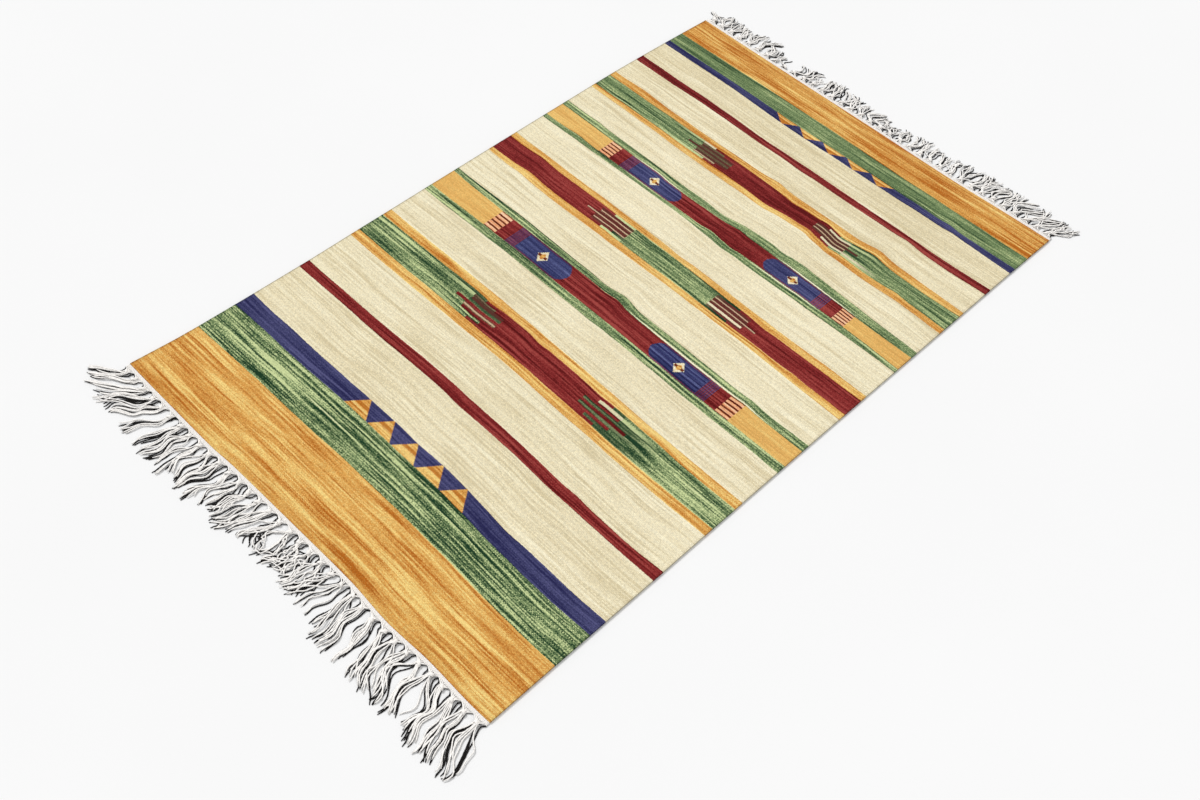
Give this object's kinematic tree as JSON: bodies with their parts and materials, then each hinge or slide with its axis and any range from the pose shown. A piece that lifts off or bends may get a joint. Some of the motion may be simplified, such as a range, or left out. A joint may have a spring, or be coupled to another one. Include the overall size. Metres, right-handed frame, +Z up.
{
  "type": "kilim rug",
  "caption": "Flat hand-woven kilim rug with coloured cross bands, stepped tapestry motifs, a white cotton heading and a knotted fringe at each end",
  "frame": {"origin": "middle of the whole rug's box, fringes included, on the floor it lies on", "axes": "+X across the warps to the right, +Y along the warps from the near end to the far end, +Z up from the floor"},
  "size_m": [0.9828, 1.7186, 0.0092],
  "materials": {
    "dyed_wool": "weft-faced wool, dull, streaky dye",
    "white_cotton": "white cotton picks, dull",
    "warp_cotton": "plied white cotton cord, dull"
  },
  "bodies": {
    "root": {"woven_field": "dyed_wool", "heading_near": "white_cotton", "heading_far": "white_cotton", "fringe_near": "warp_cotton", "fringe_far": "warp_cotton"}
  },
  "joints": []
}
